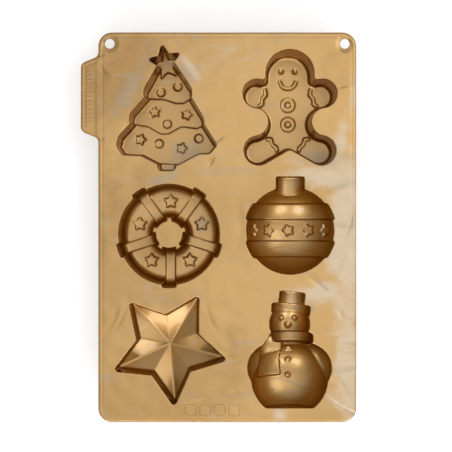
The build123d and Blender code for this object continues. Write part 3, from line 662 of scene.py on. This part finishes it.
def silicone_material(name, finish, bump):
    """Marbled pearl silicone with a satin skin."""
    material = bpy.data.materials.new(name)
    material.use_nodes = True
    tree = material.node_tree
    shader = tree.nodes["Principled BSDF"]
    coordinates = tree.nodes.new("ShaderNodeTexCoord").outputs["Object"]
    marbling = tree.nodes.new("ShaderNodeGroup")
    marbling.node_tree = bpy.data.node_groups.get("Pearl marbling") or marbling_group()
    tree.links.new(coordinates, marbling.inputs["Vector"])
    ragged = marbling.outputs["Ragged"]
    pearl = ragged_mask(tree, "pearl", ragged, softness=0.35, strength=0.9)
    ash = ragged_mask(tree, "ash", ragged, softness=0.35, strength=0.6)
    # The dark patches paint shade on the sheet's left and top-left, besides darker mix
    bronze_and_shade = ragged_mask(tree, "bronze_and_shade", ragged, softness=0.45, strength=0.9)
    cloud = range_node(tree, marbling.outputs["Cloud"], low=0.0, high=1.0, to_low=0.55, to_high=1.0)
    shades = mix_colour(tree, cloud, finish.bronze_and_shade, finish.gold)
    shades = mix_colour(tree, bronze_and_shade, shades, finish.bronze_and_shade)
    shades = mix_colour(tree, pearl, shades, finish.pearl)
    shades = mix_colour(tree, ash, shades, finish.ash)
    streak_strength = 0.4
    streak = math_node(tree, "MULTIPLY", marbling.outputs["Streak"], streak_strength)
    shades = mix_colour(tree, streak, shades, finish.ash)
    # Painted shade: upright walls turn dark amber
    shades = mix_colour(tree, mesh_mask(tree, "wall_shade"), shades, finish.wall_shade_amber)
    tree.links.new(shades, shader.inputs["Base Color"])
    rougher, less_metal = 0.08, -0.3
    pale = math_node(tree, "MAXIMUM", pearl, ash)
    dull = math_node(tree, "MULTIPLY", pale, rougher)
    tree.links.new(math_node(tree, "ADD", dull, finish.roughness), shader.inputs["Roughness"])
    milky = math_node(tree, "MULTIPLY", pale, less_metal)
    tree.links.new(math_node(tree, "ADD", milky, finish.metallic), shader.inputs["Metallic"])
    grain_height = 0.12
    grain = noise_node(tree, coordinates, scale=1800.0, detail=2.0)["Fac"]
    height = math_node(tree, "MULTIPLY", grain, grain_height)
    height = math_node(tree, "ADD", height, marbling.outputs["Wrinkle"])
    bumps = tree.nodes.new("ShaderNodeBump")
    bumps.inputs["Strength"].default_value = bump
    bumps.inputs["Distance"].default_value = 0.2 * MM
    tree.links.new(height, bumps.inputs["Height"])
    tree.links.new(bumps.outputs["Normal"], shader.inputs["Normal"])
    shader.inputs["Specular IOR Level"].default_value = 0.5
    shader.inputs["IOR"].default_value = 1.41
    shader.inputs["Specular Tint"].default_value = (*finish.edge_tint, 1.0)
    shader.inputs["Coat Weight"].default_value = finish.skin
    shader.inputs["Coat Roughness"].default_value = 0.1
    shader.inputs["Coat IOR"].default_value = 1.5
    return material


def body_material():
    """The body's silicone, made once."""
    name = "Marbled silicone"
    finish = bpy.context.scene.mould_finish
    return bpy.data.materials.get(name) or silicone_material(name, finish, finish.body_bump)


def mark_material():
    """The raised marks' silicone: the same mix with a smoother skin, made once."""
    name = "Marbled silicone marks"
    finish = bpy.context.scene.mould_finish
    return bpy.data.materials.get(name) or silicone_material(name, finish, finish.mark_bump)


# Geometry node helpers

def modifier_tree(name, labels, settings, material):
    """An empty geometry node tree with a named input for a count, for each size and for the finish."""
    tree = bpy.data.node_groups.new(name, "GeometryNodeTree")
    add_socket(tree, "Geometry", "NodeSocketGeometry", "OUTPUT")
    values = {add_socket(tree, "Count", "NodeSocketInt", "INPUT").identifier: settings.count}
    for label in labels:
        socket = add_socket(tree, label, "NodeSocketFloat", "INPUT")
        values[socket.identifier] = getattr(settings, label.lower())
    values[add_socket(tree, "Finish", "NodeSocketMaterial", "INPUT").identifier] = material
    inlet = tree.nodes.new("NodeGroupInput")
    outlet = tree.nodes.new("NodeGroupOutput")
    return tree, values, inlet, outlet


def add_node(tree, kind, links, **values):
    """A node of a kind with its inputs linked by name and its plain values set."""
    node = tree.nodes.new(kind)
    for label, value in values.items():
        setattr(node, label, value)
    for label, source in links.items():
        socket = node.inputs[label]
        if isinstance(source, bpy.types.NodeSocket):
            tree.links.new(source, socket)
        else:
            socket.default_value = source
    return node


def row_of(tree, count, step, shape):
    """Copies of a shape in a row that is centred on the origin, made real."""
    steps = add_node(tree, "ShaderNodeMath", {0: count, 1: -1.0}, operation="ADD").outputs[0]
    span = add_node(tree, "ShaderNodeVectorMath", {0: step, "Scale": steps}, operation="SCALE").outputs[0]
    start = add_node(tree, "ShaderNodeVectorMath", {0: span, "Scale": -0.5}, operation="SCALE").outputs[0]
    line = add_node(tree, "GeometryNodeMeshLine", {"Count": count, "Start Location": start, "Offset": step})
    copies = add_node(tree, "GeometryNodeInstanceOnPoints", {"Points": line.outputs[0], "Instance": shape})
    return add_node(tree, "GeometryNodeRealizeInstances", {"Geometry": copies.outputs[0]}).outputs[0]


def finished(tree, inlet, outlet, geometry):
    """Smooth the faces, set the finish and end the tree."""
    smooth = add_node(tree, "GeometryNodeSetShadeSmooth", {"Geometry": geometry}).outputs[0]
    links = {"Geometry": smooth, "Material": inlet.outputs["Finish"]}
    coloured = add_node(tree, "GeometryNodeSetMaterial", links).outputs[0]
    tree.links.new(coloured, outlet.inputs["Geometry"])


def grown_piece(name, tree, values, place, material):
    """Run a tree on an empty mesh and keep the result as a plain piece that follows the sheet."""
    def add_tree(holder):
        nodes = holder.modifiers.new(name, "NODES")
        nodes.node_group = tree
        for identifier, value in values.items():
            nodes[identifier] = value
    mesh = evaluated_mesh(bpy.data.meshes.new("empty start"), add_tree)
    mesh.name = name
    body = bpy.context.scene.mould_body
    points = points_of(mesh) + np.array(place)
    points[:, 2] -= np.maximum(sheet_dip(points[:, 0], points[:, 1], body), 0.0)
    points[:, 2] = np.minimum(points[:, 2], TOP)
    mesh.vertices.foreach_set("co", points.astype(np.float32).ravel())
    mesh.update()
    return show(name, mesh, material)


# How the body is parted and softened

def field_cuts(field):
    """The planes, each as a place and an outward direction, that part a field from its neighbours."""
    right = Vector((1, 0, 0))
    up = Vector((0, 1, 0))
    edge_reach = 20 * MM
    low, high = (Vector(corner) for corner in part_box("sheet_field_" + field))
    cuts = [(Vector((RIM_LOW.x, 0, 0)), -right)]
    if low.x > RIM_LOW.x + edge_reach:
        cuts.append((low, -right))
    if high.x < RIM_HIGH.x - edge_reach:
        cuts.append((high, right))
    if low.y > RIM_LOW.y + edge_reach:
        cuts.append((low, -up))
    if high.y < RIM_HIGH.y - edge_reach:
        cuts.append((high, up))
    return cuts


def softened(skin, body):
    """The skin's points with soft lips, a round wreath trough and a sheet that is no longer flat."""
    edges = edges_of(skin)
    points = levelled(points_of(skin))
    lip_start, lip_full = TOP - 3.5 * MM, TOP - 1.2 * MM
    rim_start, rim_full = 1 * MM, 3 * MM
    near_top = ramp(points[:, 2], lip_start, lip_full)
    points = smoothed(points, edges, body.base_rounds, np.ones(len(points)))
    within_rim = ramp(inside_rim(points[:, 0], points[:, 1]), rim_start, rim_full)
    points = smoothed(points, edges, body.lip_rounds, near_top * within_rim)
    points = smoothed(points, edges, body.trough_rounds, wreath_share(points))
    points[:, 2] += trough_rise(points, body.trough_lift)
    height = np.clip(points[:, 2] / TOP, 0.0, 1.0)
    points[:, 2] = np.clip(points[:, 2], 0.0, TOP)
    points[:, 2] -= np.maximum(sheet_dip(points[:, 0], points[:, 1], body), 0.0) * height
    points[:, 0] = np.clip(points[:, 0], TAB_LOW.x, RIM_HIGH.x)
    points[:, 1] = np.clip(points[:, 1], RIM_LOW.y, RIM_HIGH.y)
    return points


# Operators for the mould

class MOULD_OT_body(bpy.types.Operator):
    """Join the CAD regions into one soft moulded skin and part it into six fields and the grip tab"""
    bl_idname = "mould.body"
    bl_label = "Moulded body"

    def execute(self, context):
        body = context.scene.mould_body
        voxel = body.voxel
        names = ["rim_bead", "grip_tab", *EYELETS.values()]
        for field, cup in CUPS.items():
            names += ["sheet_field_" + field, *cup]
        skin = voxel_surface(swollen_copies(names, body.overlap), voxel)
        if not skin.polygons:
            raise RuntimeError("the moulded skin came out empty")
        skin.vertices.foreach_set("co", softened(skin, body).astype(np.float32).ravel())
        skin.update()
        # Mask of the painted shade on the upright walls
        set_mask(skin, "wall_shade", wall_shade_mask(skin))
        material = body_material()
        for field, cup in CUPS.items():
            name = field + "_field"
            piece = show(name, field_mesh(name, skin, field_cuts(field)), material)
            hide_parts("sheet_field_" + field, "rim_bead", *cup)
            if field in EYELETS:
                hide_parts(EYELETS[field])
        beside_rim = [(Vector((RIM_LOW.x, 0, 0)), Vector((1, 0, 0)))]
        tab = show("tab", field_mesh("tab", skin, beside_rim), material)
        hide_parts("grip_tab")
        bpy.data.meshes.remove(skin)
        return {"FINISHED"}


class MOULD_OT_grip_ribs(bpy.types.Operator):
    """Set plain ribs across the grip tab"""
    bl_idname = "mould.grip_ribs"
    bl_label = "Grip ribs"

    def execute(self, context):
        ribs = context.scene.grip_ribs
        material = mark_material()
        labels = ("Pitch", "Length", "Width", "Height")
        tree, values, inlet, outlet = modifier_tree("Grip ribs", labels, ribs, material)
        given = inlet.outputs
        sides = {0: given["Length"], 1: given["Width"], 2: given["Height"]}
        size = add_node(tree, "ShaderNodeCombineXYZ", sides).outputs[0]
        block = {"Size": size, "Vertices X": 5, "Vertices Y": 3}
        bar = add_node(tree, "GeometryNodeMeshCube", block).outputs[0]
        soft = add_node(tree, "GeometryNodeSubdivisionSurface", {"Mesh": bar, "Level": 2}).outputs[0]
        step = add_node(tree, "ShaderNodeCombineXYZ", {1: given["Pitch"]}).outputs[0]
        finished(tree, inlet, outlet, row_of(tree, given["Count"], step, soft))
        middle_sunk = 0.1 * ribs.height
        place = ((TAB_LOW.x + TAB_HIGH.x) / 2, TAB_Y, TOP - middle_sunk)
        grown_piece("grip_ribs", tree, values, place, material)
        return {"FINISHED"}


class MOULD_OT_blank_squares(bpy.types.Operator):
    """Set a row of plain rounded squares near the lower edge"""
    bl_idname = "mould.blank_squares"
    bl_label = "Blank squares"

    def execute(self, context):
        squares = context.scene.blank_squares
        material = mark_material()
        labels = ("Pitch", "Size", "Rounding", "Line")
        tree, values, inlet, outlet = modifier_tree("Blank squares", labels, squares, material)
        given = inlet.outputs
        sides = {"Width": given["Size"], "Height": given["Size"]}
        square = add_node(tree, "GeometryNodeCurvePrimitiveQuadrilateral", sides).outputs[0]
        corners = {"Curve": square, "Radius": given["Rounding"], "Count": 6}
        rounded = add_node(tree, "GeometryNodeFilletCurve", corners, mode="POLY").outputs[0]
        path = add_node(tree, "GeometryNodeResampleCurve", {"Curve": rounded, "Count": 72}).outputs[0]
        profile = {"Resolution": 10, "Radius": given["Line"]}
        section = add_node(tree, "GeometryNodeCurvePrimitiveCircle", profile).outputs[0]
        sweep = {"Curve": path, "Profile Curve": section}
        line = add_node(tree, "GeometryNodeCurveToMesh", sweep).outputs[0]
        step = add_node(tree, "ShaderNodeCombineXYZ", {0: given["Pitch"]}).outputs[0]
        finished(tree, inlet, outlet, row_of(tree, given["Count"], step, line))
        middle_sunk = 0.3 * squares.line
        grown_piece("blank_squares", tree, values, (ROW_X, ROW_Y, TOP - middle_sunk), material)
        return {"FINISHED"}


# Floor, surroundings, lamps and camera

def seen_rays(tree, *kinds):
    """1 for rays of any of the kinds, 0 for others."""
    rays = tree.nodes.new("ShaderNodeLightPath").outputs
    seen = rays[kinds[0]]
    for kind in kinds[1:]:
        seen = math_node(tree, "MAXIMUM", seen, rays[kind])
    return seen


def mix_shader(tree, factor, first, second):
    """Mix two shaders by a factor."""
    mix = tree.nodes.new("ShaderNodeMixShader")
    for slot, value in enumerate((factor, first, second)):
        tree.links.new(value, mix.inputs[slot])
    return mix.outputs[0]


def floor_material(stage):
    """A pale floor that looks white and keeps the mould's soft shadow."""
    material = bpy.data.materials.new("Pale floor")
    material.use_nodes = True
    tree = material.node_tree
    tree.nodes.clear()
    matt = tree.nodes.new("ShaderNodeBsdfDiffuse")
    matt.inputs["Color"].default_value = (*stage.floor_colour, 1)
    glow = tree.nodes.new("ShaderNodeEmission")
    glow.inputs["Strength"].default_value = stage.floor_glow
    lifted = tree.nodes.new("ShaderNodeAddShader")
    tree.links.new(glow.outputs[0], lifted.inputs[0])
    tree.links.new(matt.outputs[0], lifted.inputs[1])
    seen = seen_rays(tree, *SEEN)
    mixed = mix_shader(tree, seen, matt.outputs[0], lifted.outputs[0])
    tree.links.new(mixed, tree.nodes.new("ShaderNodeOutputMaterial").inputs["Surface"])
    return material


def surroundings(stage):
    """A white world, whose reflections grow dim towards the horizon as in a light tent."""
    world = bpy.data.worlds.new("White surroundings")
    world.use_nodes = True
    tree = world.node_tree
    tree.nodes.clear()
    sky = tree.nodes.new("ShaderNodeBackground")
    sky.inputs["Strength"].default_value = stage.sky_level
    white = tree.nodes.new("ShaderNodeBackground")
    direction = tree.nodes.new("ShaderNodeTexCoord").outputs["Generated"]
    height = tree.nodes.new("ShaderNodeSeparateXYZ")
    tree.links.new(direction, height.inputs[0])
    dimmest, brightest = 0.12, 0.86
    levels = (stage.horizon_level, stage.zenith_level)
    tent = range_node(tree, height.outputs["Z"], dimmest, brightest, *levels)
    straight = seen_rays(tree, "Is Camera Ray", "Is Transmission Ray")
    tree.links.new(math_node(tree, "MAXIMUM", tent, straight), white.inputs["Strength"])
    mixed = mix_shader(tree, seen_rays(tree, *SEEN), sky.outputs[0], white.outputs[0])
    tree.links.new(mixed, tree.nodes.new("ShaderNodeOutputWorld").inputs["Surface"])
    return world


def add_panel(name, place, aim, size, level):
    """A soft rectangular lamp whose brightness is given as a level, where 1 is white."""
    lamp = bpy.data.lights.new(name, "AREA")
    lamp.shape = "RECTANGLE"
    lamp.size, lamp.size_y = size
    lamp.energy = level * math.pi * size[0] * size[1]
    holder = bpy.data.objects.new(name, lamp)
    bpy.context.scene.collection.objects.link(holder)
    holder.location = place
    holder.rotation_euler = (Vector(aim) - Vector(place)).to_track_quat("-Z", "Y").to_euler()
    holder.visible_camera = False


class MOULD_OT_stage(bpy.types.Operator):
    """Set the floor, the white surroundings, the lamps and the camera"""
    bl_idname = "mould.stage"
    bl_label = "Stage"

    def execute(self, context):
        scene = context.scene
        stage = scene.studio_stage
        mesh = bpy.data.meshes.new("floor")
        half = stage.floor_size / 2
        corners = [(-half, -half, 0), (half, -half, 0), (half, half, 0), (-half, half, 0)]
        mesh.from_pydata(corners, [], [(0, 1, 2, 3)])
        mesh.materials.append(floor_material(stage))
        floor = bpy.data.objects.new("floor", mesh)
        scene.collection.objects.link(floor)
        scene.world = surroundings(stage)

        middle = (SHEET_X, SHEET_Y, TOP)
        for name, ((along, across, height), size, level) in PANELS.items():
            add_panel(name, (SHEET_X + along, SHEET_Y + across, height), middle, size, getattr(stage, level))

        camera = bpy.data.cameras.new("camera")
        camera.angle = 2 * math.atan(stage.seen_width / 2 / stage.camera_height)
        holder = bpy.data.objects.new("camera", camera)
        scene.collection.objects.link(holder)
        holder.location = (SHEET_X + stage.camera_x, SHEET_Y + stage.camera_y, TOP + stage.camera_height)
        scene.camera = holder
        scene.view_settings.view_transform = "Standard"
        return {"FINISHED"}


# Sidebar and registration

class MOULD_PT_sidebar(bpy.types.Panel):
    """Sizes, finish and steps of the mould"""
    bl_idname = "MOULD_PT_sidebar"
    bl_label = "Baking mould"
    bl_space_type = "VIEW_3D"
    bl_region_type = "UI"
    bl_category = "Mould"

    def draw(self, context):
        for group in PROPERTY_GROUPS:
            settings = getattr(context.scene, group)
            box = self.layout.box()
            for label in settings.__annotations__:
                box.prop(settings, label)
        for step in STEPS:
            self.layout.operator(step)


PROPERTY_GROUPS = {
    "mould_body": MouldBody,
    "mould_finish": MouldFinish,
    "grip_ribs": GripRibs,
    "blank_squares": BlankSquares,
    "studio_stage": StudioStage,
}
CLASSES = (*PROPERTY_GROUPS.values(), MOULD_OT_body, MOULD_OT_grip_ribs, MOULD_OT_blank_squares,
           MOULD_OT_stage, MOULD_PT_sidebar)
STEPS = ("mould.body", "mould.grip_ribs", "mould.blank_squares", "mould.stage")


def register():
    """Register the classes and hang their settings on the scene."""
    for item in CLASSES:
        bpy.utils.register_class(item)
    for label, group in PROPERTY_GROUPS.items():
        setattr(bpy.types.Scene, label, PointerProperty(type=group))


def unregister():
    """Take the settings and the classes away again."""
    for label in PROPERTY_GROUPS:
        delattr(bpy.types.Scene, label)
    for item in reversed(CLASSES):
        bpy.utils.unregister_class(item)


def main():
    """Build the stage and the mould."""
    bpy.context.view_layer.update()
    register()
    bpy.ops.mould.stage()
    bpy.ops.mould.body()
    bpy.ops.mould.grip_ribs()
    bpy.ops.mould.blank_squares()


if __name__ == "__main__":
    main()
